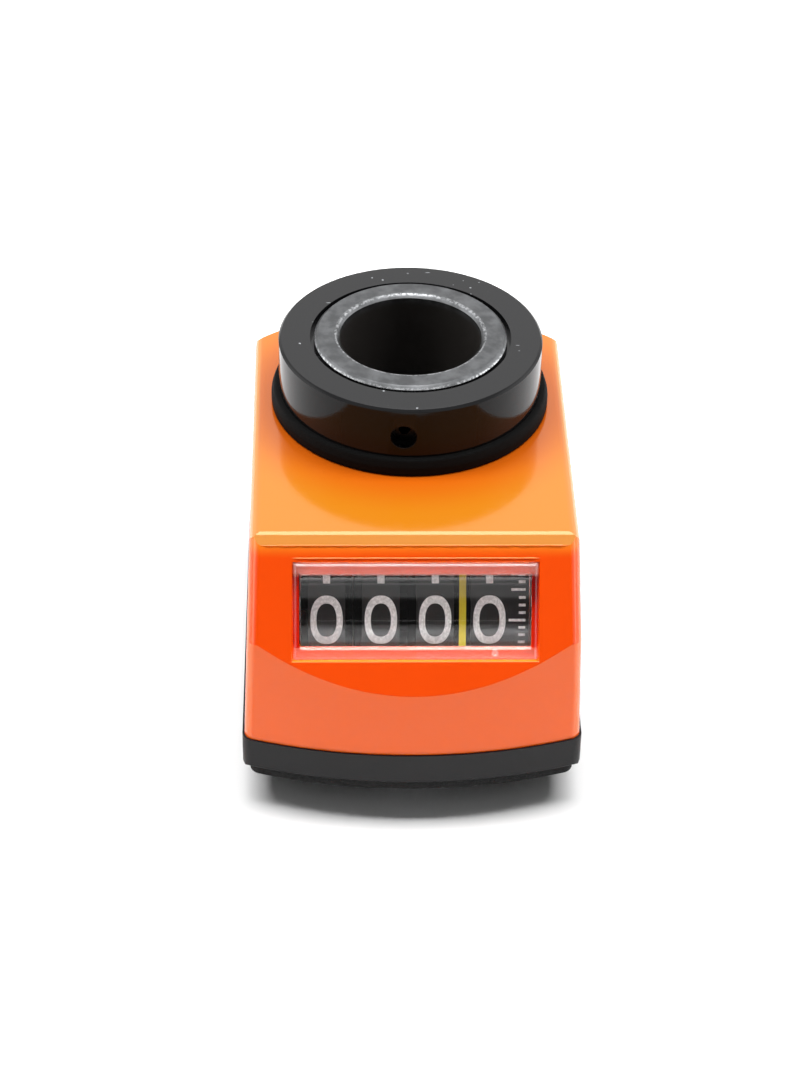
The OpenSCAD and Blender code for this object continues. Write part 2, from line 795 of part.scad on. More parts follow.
// Number drum with a carry driver on its left and a carry gear on its right
module drum(i, driver, gear, extra) {
    x = row_x + i * digit_pitch;
    band_x = x + flange_w;
    pocket_r = driver_r - driver_step - driver_wall;
    pocket_w = flange_w + band_w / 2;
    at_axis(drum_y, drum_z) difference() {
        union() {
            along_x(band_x, band_w + extra) circle(drum_r);
            if (driver) {
                along_x(x, flange_w + eps) circle(driver_r - driver_step);
                along_x(x, flange_w + eps) for (a = [-driver_spread, driver_spread]) {
                    rotate(carry_dir + 180 + a) translate([0, -driver_tooth / 2]) {
                        square([driver_r, driver_tooth]);
                    }
                }
            }
            if (gear) {
                along_x(band_x + band_w - eps, flange_w + eps) rotate(carry_dir) {
                    gear2d(carry_teeth, carry_m, carry_add, carry_ded);
                }
            }
            along_x(x, flange_w + eps) circle(hub_r);
        }
        along_x(x - far, 2 * far) circle(axle_r + run_clear);
        along_x(x - eps, pocket_w) difference() {
            circle(pocket_r);
            circle(hub_r);
        }
    }
}

module units_drum() {
    color("black") {
        drum(3, true, false, scale_w);
        at_axis(drum_y, drum_z) along_x(row_end - eps, spur_x + spur_w - row_end) difference() {
            circle(hub_r);
            circle(axle_r + run_clear);
        }
    }
}

module tens_drum() {
    color("black") drum(2, true, true, 0);
}

module hundreds_drum() {
    color("black") drum(1, true, true, 0);
}

module thousands_drum() {
    color("black") drum(0, false, true, 0);
}

// Eight teeth on the carry gear side, every other one on the driver side
module transfer_pinion(i) {
    x = row_x + i * digit_pitch - side_clear / 2;
    half = flange_w + side_clear / 2 - lens_clear;
    color("ivory") at_axis(pinion_y, pinion_z) difference() {
        union() {
            along_x(x - half, half) rotate(carry_dir + 180 + 180 / pinion_teeth) {
                gear2d(pinion_teeth, carry_m, carry_add, carry_ded);
            }
            along_x(x - eps, half + eps) rotate(carry_dir + 180 + 180 / pinion_teeth) {
                gear2d(pinion_teeth, carry_m, carry_add, carry_ded, 2);
            }
        }
        along_x(x - far, 2 * far) circle(pinion_axle_d / 2 + run_clear);
    }
}

module transfer_pinion_1() {
    transfer_pinion(3);
}

module transfer_pinion_2() {
    transfer_pinion(2);
}

module transfer_pinion_3() {
    transfer_pinion(1);
}

// Bent sheet bracket: two cheeks and a web on the base floor
module counter_frame() {
    foot = pinion_y - frame_edge + frame_t;
    shoulder = drum_z + frame_edge;
    arm_end = frame_edge - frame_t;
    color("lightsteelblue") difference() {
        union() {
            for (x = [cheek_l, cheek_r]) {
                along_x(x, frame_t) polygon([
                    [foot, floor_z], [foot, pinion_z + frame_edge / 2], [drum_y - frame_edge, shoulder],
                    [drum_y + frame_edge, shoulder], [drum_y + frame_edge, drum_z],
                    [web_rear, floor_z + frame_edge], [web_rear, floor_z]]);
            }
            along_x(cheek_r, frame_t) polygon([
                [drum_y, drum_z - frame_edge], [drum_y, shoulder], [idler_y, idler_z + frame_edge],
                [arm_end, arbor_z + arm_end], [arm_end, arbor_z - arm_end],
                [-arm_end, arbor_z - frame_edge]]);
            along_x(cheek_l, cheek_r + frame_t - cheek_l) polygon([
                [web_front, floor_z], [web_front, floor_z + frame_t],
                [web_rear, floor_z + frame_t], [web_rear, floor_z]]);
        }
        at_axis(drum_y, drum_z) {
            along_x(-far, far) circle(axle_r + seat_clear);
            along_x(0, far) circle(hub_r + run_clear);
        }
        at_axis(pinion_y, pinion_z) along_x(-far, 2 * far) circle(pinion_axle_d / 2 + seat_clear);
        at_axis(idler_y, idler_z) along_x(0, far) circle(gear_pin_r + seat_clear);
        at_axis(0, arbor_z) along_x(0, far) circle(gear_pin_r + seat_clear);
        for (s = [-1, 1]) {
            translate([s * peg_x, web_mid, floor_z - eps]) cylinder(r = peg_r + lens_clear, h = 2 * frame_t);
        }
    }
}

housing();
base_plate();
base_gasket();
torque_pin();
base_screws();
window_lens();
decimal_marker();
counter_frame();
drum_axle();
pinion_axle();
idler_pin();
arbor_pin();
hollow_shaft();
collar();
set_screw();
seal_ring();
retaining_ring();
crown_gear();
arbor_gear();
idler_gear();
units_gear();
units_drum();
tens_drum();
hundreds_drum();
thousands_drum();
transfer_pinion_1();
transfer_pinion_2();
transfer_pinion_3();
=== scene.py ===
"""Looks of a mechanical position indicator: moulded shells, printed drums, finishes and studio."""

import json
import math

import bmesh
import bpy
from bpy.props import FloatProperty, FloatVectorProperty, PointerProperty
from mathutils import Matrix, Vector


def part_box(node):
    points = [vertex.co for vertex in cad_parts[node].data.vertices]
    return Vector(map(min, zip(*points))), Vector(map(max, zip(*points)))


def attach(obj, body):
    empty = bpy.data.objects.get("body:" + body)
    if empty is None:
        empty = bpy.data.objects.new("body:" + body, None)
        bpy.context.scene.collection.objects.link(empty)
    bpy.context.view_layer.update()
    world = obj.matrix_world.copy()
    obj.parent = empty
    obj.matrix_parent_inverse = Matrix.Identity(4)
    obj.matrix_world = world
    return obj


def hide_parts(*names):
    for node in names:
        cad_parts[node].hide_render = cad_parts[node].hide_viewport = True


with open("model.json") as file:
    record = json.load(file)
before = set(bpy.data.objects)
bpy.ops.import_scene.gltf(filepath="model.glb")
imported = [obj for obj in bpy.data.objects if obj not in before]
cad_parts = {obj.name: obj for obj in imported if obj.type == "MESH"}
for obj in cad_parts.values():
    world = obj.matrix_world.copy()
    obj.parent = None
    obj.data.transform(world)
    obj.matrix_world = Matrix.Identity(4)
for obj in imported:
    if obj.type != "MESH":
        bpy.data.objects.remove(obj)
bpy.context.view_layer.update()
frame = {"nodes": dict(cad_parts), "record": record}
NODES = frame["nodes"]

bl_info = {
    "name": "Position Indicator Looks",
    "version": (1, 0, 0),
    "blender": (4, 5, 0),
    "location": "View3D > Sidebar > Indicator",
    "description": "Dresses the packed position indicator and sets up its studio",
    "category": "Object",
}

MM = 0.001

# Edges that turn more than CORNER can be rounded.
# Edges that turn less than SMOOTH are shaded as a curve.
CORNER = math.radians(16)
SMOOTH = math.radians(32)
# Triangles that lie this flat to each other become one face
FLAT = math.radians(0.4)
# Points this close are merged: doubles of a corner, and slivers that would stop a rounding
MERGE = 0.0005 * MM
SLIVER = 0.06 * MM
# Only an edge right across the display face is longer
LONG_EDGE = 20 * MM

# The photograph is 800 by 1067 pixels and the sensor spans its long side
SENSOR = 36.0
PHOTO_HEIGHT = 1067

# Drum axis and radius, from the middle drums that have no hub on their sides
DRUM_LOW, DRUM_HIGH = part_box("tens_drum")
DRUM_AXIS = (DRUM_LOW + DRUM_HIGH) / 2
DRUM_RADIUS = (DRUM_HIGH.z - DRUM_LOW.z) / 2
DIGITS = 10
DIGIT_TURN = math.tau / DIGITS

SHAFT_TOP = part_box("hollow_shaft")[1].z
SHAFT_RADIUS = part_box("hollow_shaft")[1].x
BORE_RADIUS = frame["record"]["mounts"][0]["dims"]["r_mm"] * MM
BORE_CHAMFER = 0.35 * MM

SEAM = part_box("housing")[0].z
# The housing's edges stay sharp up to here, where it meets the base
SHARP_BELOW = SEAM + 0.5 * MM
# The torque pin stands on the rear edge of its flat tip, this far behind its axis
PIN_FLAT = 2.5 * MM
# Room under the part for the floor, and where the floor turns to pure white
FLOOR_GAP = 0.02 * MM
FLOOR_FADE = (0.15, 0.4)
# Distance from the shaft axis over which the housing's top turns from painted collar shadow to
# painted light
TOP_FADE = (13.5 * MM, 20.5 * MM)
# Depth of the painted glow on the display face under the chamfer, in place of light seeping through
# the plastic
PAINTED_GLOW_DEPTH = 1.3 * MM


def length(name, default_mm, description):
    """A size in metres, given here in millimetres."""
    return FloatProperty(
        name=name, description=description, default=default_mm * MM,
        subtype="DISTANCE", unit="LENGTH", precision=5)


def angle(name, degrees, description):
    """An angle, given here in degrees."""
    return FloatProperty(
        name=name, description=description, default=math.radians(degrees),
        subtype="ANGLE", unit="ROTATION")


def level(name, default, description, unit="NONE"):
    """A strength of light."""
    return FloatProperty(name=name, description=description, default=default, min=0, unit=unit)


def colour(name, value, description):
    """A linear colour."""
    return FloatVectorProperty(
        name=name, description=description, default=value, size=3,
        subtype="COLOR", min=0, max=1)


class IndicatorSizes(bpy.types.PropertyGroup):
    """Sizes of the moulded edges and of the print on the drums."""

    shell_edge: length("Housing edge", 0.1, "Radius of the housing's outer edges")
    window_edge: length("Window edge", 0.1, "Radius round the window opening")
    lens_edge: length("Lens edge", 0.35, "Radius of the lens rim")
    rim_height: length("Rim height", 1.3, "Height of the lens rim over and under the reading zone")
    rim_width: length("Rim width", 0.65, "Width of the lens rim beside the reading zone")
    gate: length("Gate mark", 0.32, "Radius of the mark where the lens was filled")
    gate_right: length("Gate place", 7.6, "Distance of that mark to the right of the middle")
    ridge: length("Mould line", 0.08, "Radius of the fine lines that the mould leaves")
    ridge_lift: length("Mould line lift", 0.35, "Distance of the lower mould line over the window")
    base_edge: length("Base edge", 0.16, "Radius of the base edges")
    foam_edge: length("Foam edge", 0.3, "Radius of the foam gasket's edges")
    metal_edge: length("Metal edge", 0.08, "Broken edge of the steel shaft")
    collar_edge: length("Collar edge", 0.12, "Radius of the collar edges")
    seal_edge: length("Seal edge", 0.18, "Radius of the rubber seal's edges")
    numeral_height: length("Numeral height", 3.7, "Height of a numeral on the drum")
    numeral_width: length("Nought width", 3.08, "Width of the numeral nought")
    numeral_stroke: length("Nought stroke", 0.58, "Stroke of the numeral nought")
    print_height: length("Print height", 0.02, "Height of the print over the drum")
    print_root: length("Print root", 0.02, "Depth of the print under the drum surface")
    tick_width: length("Tick width", 0.2, "Width of a line of the fine scale")
    tick_short: length("Short tick", 0.65, "Length of a plain line of the fine scale")
    tick_half: length("Half tick", 1.35, "Length of a line between two numerals")
    tick_long: length("Long tick", 1.6, "Length of a line at a numeral")
    tick_margin: length("Scale margin", 0.35, "Bare edge of the units drum beside the scale")
    reading_lift: angle("Reading angle", 15.4, "Angle of the numeral being read over the horizon")


class IndicatorColours(bpy.types.PropertyGroup):
    """Linear colours of the finishes."""

    orange: colour("Orange", (0.86, 0.07, 0.0025), "Housing, display face")
    orange_deep: colour("Deep orange", (0.83, 0.066, 0.002), "Mottle in the housing")
    # Painted collar shadow on the housing's top, and painted light on the top away from the collar
    orange_top: colour("Top orange", (0.46, 0.082, 0.0028), "Housing, top by the collar")
    orange_far: colour("Far orange", (0.46, 0.148, 0.006), "Housing, top away from the collar")
    # Painted light: the chamfer lighter than the display face
    orange_edge: colour("Edge orange", (0.55, 0.195, 0.02), "Housing, chamfer over the display")
    # Painted glow: the display face lighter just under the chamfer
    orange_glow: colour("Glow orange", (0.88, 0.19, 0.012), "Housing, display face under the chamfer")
    orange_sheen: colour("Sheen", (1.0, 0.86, 0.55), "Tint of the gloss on top and at round edges")
    # Painted light: the upright walls lighter than the display face
    orange_wall: colour("Wall orange", (1.0, 0.13, 0.003), "Housing, upright walls")
    satin: colour("Black satin", (0.009, 0.009, 0.0095), "Base moulding")
    gloss: colour("Black gloss", (0.006, 0.006, 0.0065), "Collar")
    dust: colour("Dust", (0.22, 0.23, 0.24), "Specks on the collar")
    foam: colour("Foam", (0.012, 0.012, 0.012), "Gasket")
    rubber: colour("Rubber", (0.003, 0.003, 0.003), "Seal ring")
    steel: colour("Steel", (0.128, 0.131, 0.135), "Burnished shaft")
    bright: colour("Bright steel", (0.45, 0.46, 0.47), "Rubbed edges of the shaft")
    # The set screw's own black, and painted shade inside the bore
    oxide: colour("Oxide", (0.03, 0.027, 0.025), "Set screw and inside of the bore")
    zinc: colour("Zinc", (0.58, 0.6, 0.63), "Plated screws, pins and frame")
    numeral: colour("Numerals", (0.86, 0.84, 0.83), "Print on the drums")
    yellow: colour("Yellow", (0.72, 0.58, 0.03), "Decimal line")
    drum: colour("Drum", (0.010, 0.008, 0.008), "Number drums")
    acetal: colour("Acetal", (0.8, 0.77, 0.68), "Gears")
    clear: colour("Clear", (0.97, 0.98, 0.985), "Window lens")
    # Painted light: a pale pink rim, as if lit orange showed through it
    clear_rim: colour("Clear rim", (0.95, 0.8, 0.74), "Window lens, upper and lower rim")
    clear_end: colour("Clear end", (0.5, 0.03, 0.07), "Window lens, shaded ends")
    floor: colour("Floor", (0.85, 0.85, 0.85), "Floor")


class IndicatorStudio(bpy.types.PropertyGroup):
    """Camera and light."""

    view_lift: angle("View lift", 36.83, "Height of the camera over the horizon")
    view_turn: angle("View turn", 1.77, "Turn of the part in front of the camera")
    view_roll: angle("View roll", 1.01, "Clockwise roll of the picture")
    view_distance: length("View distance", 314.5, "Distance from the camera to the origin")
    aim_right: length("Aim right", -0.7, "Aim to the right of the origin")
    aim_up: length("Aim up", 7.12, "Aim above the origin in the picture")
    focal_pixels: FloatProperty(
        name="Focal length", description="Focal length in pixels of the photograph", default=2994)
    room_level: level("Room", 0.22, "Light from the room")
    mirror_level: level("Mirrored room", 1.1, "Room as gloss shows it")
    side_level: level("Mirrored sides", 3.0, "Side walls as gloss shows them")
    sky_level: level("Mirrored ceiling", 7, "Ceiling as gloss shows it")
    dark_level: level("Dark side", 0.06, "Share of its light that the room keeps behind the camera")
    box_power: level("Soft box", 9.4, "Soft box over the part", unit="POWER")
    box_width: length("Soft box width", 900, "Width of the soft box")
    box_depth: length("Soft box depth", 160, "Depth of the soft box")
    box_distance: length("Soft box distance", 600, "Distance of the soft box")
    box_lift: angle("Soft box lift", 86, "Height of the soft box over the horizon behind the part")


# Selecting and shaping

def select_only(obj):
    """Makes one object the selected and active one."""
    bpy.ops.object.select_all(action="DESELECT")
    obj.select_set(True)
    bpy.context.view_layer.objects.active = obj


def copy_of(master, name):
    """A copy of a master piece, with a mesh of its own."""
    piece = bpy.data.objects.new(name, master.data.copy())
    bpy.context.scene.collection.objects.link(piece)
    return piece


def copy_of_node(node, name, merge=MERGE):
    """A CAD node's shape as a new piece, with its triangles merged and its flat faces whole."""
    piece = copy_of(NODES[node], name)
    piece.data.materials.clear()
    select_only(piece)
    bpy.ops.mesh.customdata_custom_splitnormals_clear()
    bpy.ops.object.mode_set(mode="EDIT")
    bpy.ops.mesh.select_all(action="SELECT")
    bpy.ops.mesh.remove_doubles(threshold=merge)
    bpy.ops.mesh.dissolve_limited(angle_limit=FLAT)
    bpy.ops.object.mode_set(mode="OBJECT")
    return piece


def round_edges(piece, radius, wanted, segments=3):
    """Rounds the corners that a test picks."""
    select_only(piece)
    bpy.ops.object.mode_set(mode="EDIT")
    bpy.ops.mesh.select_mode(type="EDGE")
    bpy.ops.mesh.select_all(action="DESELECT")
    mesh = bmesh.from_edit_mesh(piece.data)
    corners = [e for e in mesh.edges if e.is_manifold and e.calc_face_angle(0) > CORNER]
    picked = [e for e in corners if wanted(e)]
    if not picked:
        raise RuntimeError(f"{piece.name} has no edge to round")
    for edge in picked:
        edge.select_set(True)
    bmesh.update_edit_mesh(piece.data)
    bpy.ops.mesh.bevel(
        offset=radius, segments=segments, profile=0.5, affect="EDGES", clamp_overlap=True)
    bpy.ops.object.mode_set(mode="OBJECT")


def middle_of(edge):
    """The middle of an edge."""
    return (edge.verts[0].co + edge.verts[1].co) / 2


def outer_edge(centre):
    """A test for edges between two faces that both look away from a centre."""
    def test(edge):
        out = middle_of(edge) - centre
        return edge.is_convex and all(face.normal.dot(out) > 0 for face in edge.link_faces)
    return test


def leaning_plane(mesh):
    """A point on the housing's leaning display face, the way it looks and the way up along it."""
    leaning = [face for face in mesh.polygons if face.normal.y < -0.7 and face.normal.z > 0.2]
    face = max(leaning, key=lambda f: f.area)
    normal = face.normal.copy()
    return mesh.vertices[face.vertices[0]].co.copy(), normal, Vector((0, normal.z, -normal.y))


def ridge(start, end, radius):
    """A fine uneven bead from end to end, such as a mould leaves along a joint."""
    steps = 40
    tip = 0.1
    along = (end - start) / steps
    bpy.ops.object.select_all(action="DESELECT")
    bpy.ops.mesh.primitive_circle_add(vertices=10, radius=radius * tip, rotation=(0, math.pi / 2, 0))
    bead = bpy.context.object
    bead.data.transform(bead.matrix_world)
    bead.matrix_world = Matrix()
    bead.data.transform(Matrix.Translation(start))
    bpy.ops.object.mode_set(mode="EDIT")
    bpy.ops.mesh.select_all(action="SELECT")
    now = tip
    for step in range(1, steps + 1):
        then = tip if step == steps else 1 + 0.3 * math.sin(2.7 * step) * math.sin(0.9 * step)
        bpy.ops.mesh.extrude_region_move(TRANSFORM_OT_translate={"value": along})
        grow = then / now
        bpy.ops.transform.resize(value=(1, grow, grow), center_override=start + along * step)
        now = then
    bpy.ops.mesh.select_all(action="SELECT")
    bpy.ops.mesh.normals_make_consistent(inside=False)
    bpy.ops.object.mode_set(mode="OBJECT")
    return bead


def join_all(pieces, name):
    """Joins pieces into the first one and names it."""
    bpy.ops.object.select_all(action="DESELECT")
    for piece in pieces:
        piece.select_set(True)
    bpy.context.view_layer.objects.active = pieces[0]
    if len(pieces) > 1:
        bpy.ops.object.join()
    pieces[0].name = name
    return pieces[0]


def finish_piece(piece, body, slot, material, *nodes):
    """Shades a piece, gives it its finish and lets it ride on its body in the place of CAD nodes."""
    select_only(piece)
    bpy.ops.object.shade_smooth_by_angle(angle=SMOOTH)
    even = piece.modifiers.new("even normals", "WEIGHTED_NORMAL")
    even.keep_sharp = True
    bpy.ops.object.modifier_apply(modifier=even.name)
    piece.data.materials.clear()
    piece.data.materials.append(material)
    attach(piece, body)
    if nodes:
        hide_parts(*nodes)


def paint_node(material, *nodes):
    """Gives CAD nodes a finish."""
    for name in nodes:
        data = NODES[name].data
        data.materials.clear()
        data.materials.append(material)


# Nodes of a finish

def shaded(tone, factor):
    """A colour made darker or lighter."""
    return [channel * factor for channel in tone]


class NodeKit:
    """Short ways to add nodes to a tree."""

    def __init__(self, tree):
        self.tree = tree

    def node(self, kind, inputs=(), **settings):
        """Adds a node, sets it and fills its inputs with numbers or links."""
        made = self.tree.nodes.new(kind)
        for key, value in settings.items():
            setattr(made, key, value)
        for key, value in dict(inputs).items():
            if isinstance(value, bpy.types.NodeSocket):
                self.tree.links.new(value, made.inputs[key])
            else:
                made.inputs[key].default_value = value
        return made

    def math(self, operation, a, b=0.0):
        """One step of arithmetic."""
        return self.node("ShaderNodeMath", {0: a, 1: b}, operation=operation).outputs[0]

    def vector(self, operation, a, b=(0, 0, 0)):
        """One step of vector arithmetic."""
        made = self.node("ShaderNodeVectorMath", {0: a, 1: b}, operation=operation)
        return made.outputs["Value" if operation in ("LENGTH", "DOT_PRODUCT") else "Vector"]

    def split(self, vector):
        """The three parts of a vector."""
        return self.node("ShaderNodeSeparateXYZ", {0: vector}).outputs[:]

    def remap(self, value, low, high, to_low=0.0, to_high=1.0):
        """Stretches a span of values smoothly onto another."""
        return self.node("ShaderNodeMapRange", {
            "Value": value, "From Min": low, "From Max": high, "To Min": to_low, "To Max": to_high},
            interpolation_type="SMOOTHSTEP").outputs[0]


class Finish(NodeKit):
    """A material with its textures, bumps and colours."""

    def __init__(self, name):
        self.material = bpy.data.materials.new(name)
        self.material.use_nodes = True
        super().__init__(self.material.node_tree)
        self.shader = self.tree.nodes["Principled BSDF"]
        where = self.tree.nodes.new("ShaderNodeTexCoord")
        self.place = where.outputs["Object"]
        self.facing = where.outputs["Normal"]

    def set(self, **values):
        """Sets numbers and colours on the shader, with spaces in names as underscores."""
        for name, value in values.items():
            socket = self.shader.inputs[name.replace("_", " ")]
            socket.default_value = (*value, 1) if hasattr(value, "__len__") else value
        return self

    def join(self, output, name):
        """Leads an output to the shader."""
        self.tree.links.new(output, self.shader.inputs[name])
        return self

    def joined(self, name):
        """The output that leads to the shader so far."""
        return self.shader.inputs[name].links[0].from_socket

    def noise(self, size_mm, detail=3.0, rough=0.5, vector=None):
        """Noise with features of about that size."""
        return self.node("ShaderNodeTexNoise", {
            "Vector": vector or self.place, "Scale": 1 / (size_mm * MM),
            "Detail": detail, "Roughness": rough}).outputs["Fac"]

    def cells(self, size_mm, vector=None):
        """Distance to the nearest of scattered points."""
        return self.node("ShaderNodeTexVoronoi", {
            "Vector": vector or self.place, "Scale": 1 / (size_mm * MM)}).outputs["Distance"]

    def drawn_out(self, turn, stretch):
        """The place turned about Z and drawn out along X."""
        return self.node("ShaderNodeMapping", {
            "Vector": self.place, "Rotation": (0, 0, math.radians(turn)),
            "Scale": (1 / stretch, 1, 1)}).outputs[0]

    def blend(self, factor, a, b):
        """A colour between two colours or outputs."""
        first, second = [(*c, 1) if hasattr(c, "__len__") else c for c in (a, b)]
        made = self.node("ShaderNodeMix", {0: factor, 6: first, 7: second}, data_type="RGBA")
        return made.outputs[2]

    def emboss(self, height, depth_mm, below=None):
        """Bumps of that depth, over other bumps where there are some."""
        inputs = {"Height": height, "Distance": depth_mm * MM, "Strength": 1.0}
        if below:
            inputs["Normal"] = below
        return self.node("ShaderNodeBump", inputs).outputs["Normal"]

    def upward(self):
        """How far the surface looks up, from -1 to 1."""
        return self.split(self.facing)[2]

    def sideways(self):
        """How far the surface looks to either side, from 0 to 1."""
        return self.math("ABSOLUTE", self.split(self.facing)[0])

    def parts_of_place(self):
        """Radius round the shaft axis and the height, as outputs."""
        x, y, height = self.split(self.place)
        flat = self.node("ShaderNodeCombineXYZ", {0: x, 1: y}).outputs[0]
        return self.vector("LENGTH", flat), height

    def round_shaft(self, size_mm, **settings):
        """Noise drawn out into rings round the shaft axis."""
        radius, height = self.parts_of_place()
        return self.noise(size_mm, vector=self.node(
            "ShaderNodeCombineXYZ", {0: radius, 1: height}).outputs[0], **settings)


def moulded(name, base, mottle, roughness, grain_mm, grain_depth_mm, **values):
    """Moulded plastic or rubber: a slow mottle in the colour and a fine grain on the surface."""
    finish = Finish(name)
    finish.set(**values)
    slow = finish.noise(9, detail=2)
    fine = finish.noise(grain_mm, detail=5, rough=0.6)
    finish.join(finish.blend(slow, base, mottle), "Base Color")
    finish.join(finish.remap(fine, 0.3, 0.7, roughness[0], roughness[1]), "Roughness")
    finish.join(finish.emboss(fine, grain_depth_mm), "Normal")
    return finish


def orange_gloss(colours):
    """Gloss orange housing with a faint moulded ripple, with painted light and shade by the way each
    face looks: painted light on walls, chamfer and the display face under it, and a painted collar
    shadow on top.
    """
    finish = moulded("orange_gloss", colours.orange, colours.orange_deep, (0.1, 0.16), 0.8, 0.0006,
                     IOR=1.5, Coat_Weight=0.15, Coat_Roughness=0.04)
    mesh = NODES["housing"].data
    point, normal, _ = leaning_plane(mesh)
    crest = max(v.co.z for v in mesh.vertices if abs((v.co - point).dot(normal)) < SLIVER)
    radius, height = finish.parts_of_place()
    up, sideways = finish.upward(), finish.sideways()
    level_top = finish.remap(up, 0.75, 0.95)

    # Painted glow on the display face just under the chamfer
    painted_glow_mask = finish.remap(height, crest - PAINTED_GLOW_DEPTH, crest)
    paint = finish.blend(painted_glow_mask, finish.joined("Base Color"), colours.orange_glow)
    # Painted light on the upright walls
    paint = finish.blend(finish.remap(up, 0.3, 0.15), paint, colours.orange_wall)
    # Painted light on the chamfer
    paint = finish.blend(finish.remap(up, 0.5, 0.68), paint, colours.orange_edge)
    # Painted collar shadow on the top, turning to painted light further from the collar
    top = finish.blend(finish.remap(radius, *TOP_FADE), colours.orange_top, colours.orange_far)
    finish.join(finish.blend(level_top, paint, top), "Base Color")

    rounded = finish.math("MULTIPLY", finish.remap(sideways, 0.35, 0.6),
                          finish.remap(sideways, 0.98, 0.9))
    polish = finish.math("MULTIPLY", finish.math("ADD", rounded, level_top), 0.5)
    gloss = finish.math("ADD", finish.remap(up, 0.3, 0.7, 0.28, 0.48), polish)
    finish.join(gloss, "Specular IOR Level")
    tinted = finish.math("MAXIMUM", finish.remap(up, 0.6, 0.95), rounded)
    finish.join(finish.blend(tinted, (1, 1, 1), colours.orange_sheen), "Specular Tint")
    return finish.material


def black_satin(colours):
    """Fine-grained black base."""
    return moulded("black_satin", colours.satin, shaded(colours.satin, 1.5), (0.38, 0.52),
                   0.16, 0.004, Specular_IOR_Level=0.2).material


def drum_black(colours):
    """Smooth black drums, with painted shade, blacker and without gloss, where their gears lie deeper
    than the numeral band.
    """
    finish = moulded("drum_black", colours.drum, shaded(colours.drum, 1.35), (0.3, 0.42), 0.12, 0.002)
    flat = finish.vector("MULTIPLY", finish.vector("SUBTRACT", finish.place, DRUM_AXIS), (0, 1, 1))
    # Painted shade: below the numeral band the drums turn blacker and lose their gloss
    band = finish.remap(finish.vector("LENGTH", flat), DRUM_RADIUS - 0.3 * MM, DRUM_RADIUS - 0.1 * MM)
    painted_recess_shade = shaded(colours.drum, 0.3)
    finish.join(finish.blend(band, painted_recess_shade, finish.joined("Base Color")), "Base Color")
    finish.join(finish.math("MULTIPLY", band, 0.5), "Specular IOR Level")
    return finish.material


def seal_rubber(colours):
    """Dull rubber."""
    return moulded("seal_rubber", colours.rubber, shaded(colours.rubber, 1.6), (0.62, 0.8),
                   0.1, 0.006, Specular_IOR_Level=0.05).material


def gear_plastic(colours):
    """Natural acetal with flow marks."""
    return moulded("gear_plastic", colours.acetal, shaded(colours.acetal, 0.9), (0.3, 0.45),
                   0.25, 0.002, Subsurface_Weight=0.05).material


def marker_yellow(colours):
    """Yellow decimal line."""
    return moulded("marker_yellow", colours.yellow, shaded(colours.yellow, 0.82), (0.35, 0.5),
                   0.15, 0.001).material


def numeral_white(colours):
    """Printed numerals, a little uneven where the ink is thin."""
    finish = Finish("numeral_white")
    ink = finish.noise(0.22, detail=4, rough=0.65)
    worn = shaded(colours.numeral, 0.72)
    finish.join(finish.blend(finish.remap(ink, 0.42, 0.62), worn, colours.numeral), "Base Color")
    finish.join(finish.remap(ink, 0.3, 0.7, 0.6, 0.42), "Roughness")
    finish.join(finish.emboss(ink, 0.003), "Normal")
    return finish.material


def black_gloss(colours):
    """Gloss black collar with specks of dust and short scratches on its top."""
    finish = Finish("black_gloss")
    finish.set(IOR=1.5)
    fine = finish.noise(0.5, detail=4)
    top = finish.remap(finish.upward(), 0.8, 0.95)
    speck = finish.remap(finish.cells(1.3), 0.11, 0.06)
    marks = finish.math("MULTIPLY", speck, finish.remap(finish.noise(4.5, detail=1), 0.42, 0.5))
    for turn in (25, -40, 80):
        hair = finish.remap(finish.cells(1.1, finish.drawn_out(turn, 5)), 0.06, 0.03)
        patch = finish.remap(finish.noise(5 + turn / 50, detail=1), 0.43, 0.5)
        marks = finish.math("MAXIMUM", marks, finish.math("MULTIPLY", hair, patch))
    marks = finish.math("MULTIPLY", marks, top)
    finish.join(finish.blend(marks, colours.gloss, colours.dust), "Base Color")
    side = finish.remap(fine, 0.3, 0.7, 0.07, 0.11)
    finish.join(finish.math("ADD", side, finish.math("MULTIPLY", top, 0.06)), "Roughness")
    finish.join(finish.remap(top, 0, 1, 0.15, 0.42), "Specular IOR Level")
    rings = finish.round_shaft(0.35)
    finish.join(finish.emboss(rings, 0.0008, finish.emboss(marks, 0.01)), "Normal")
    return finish.material


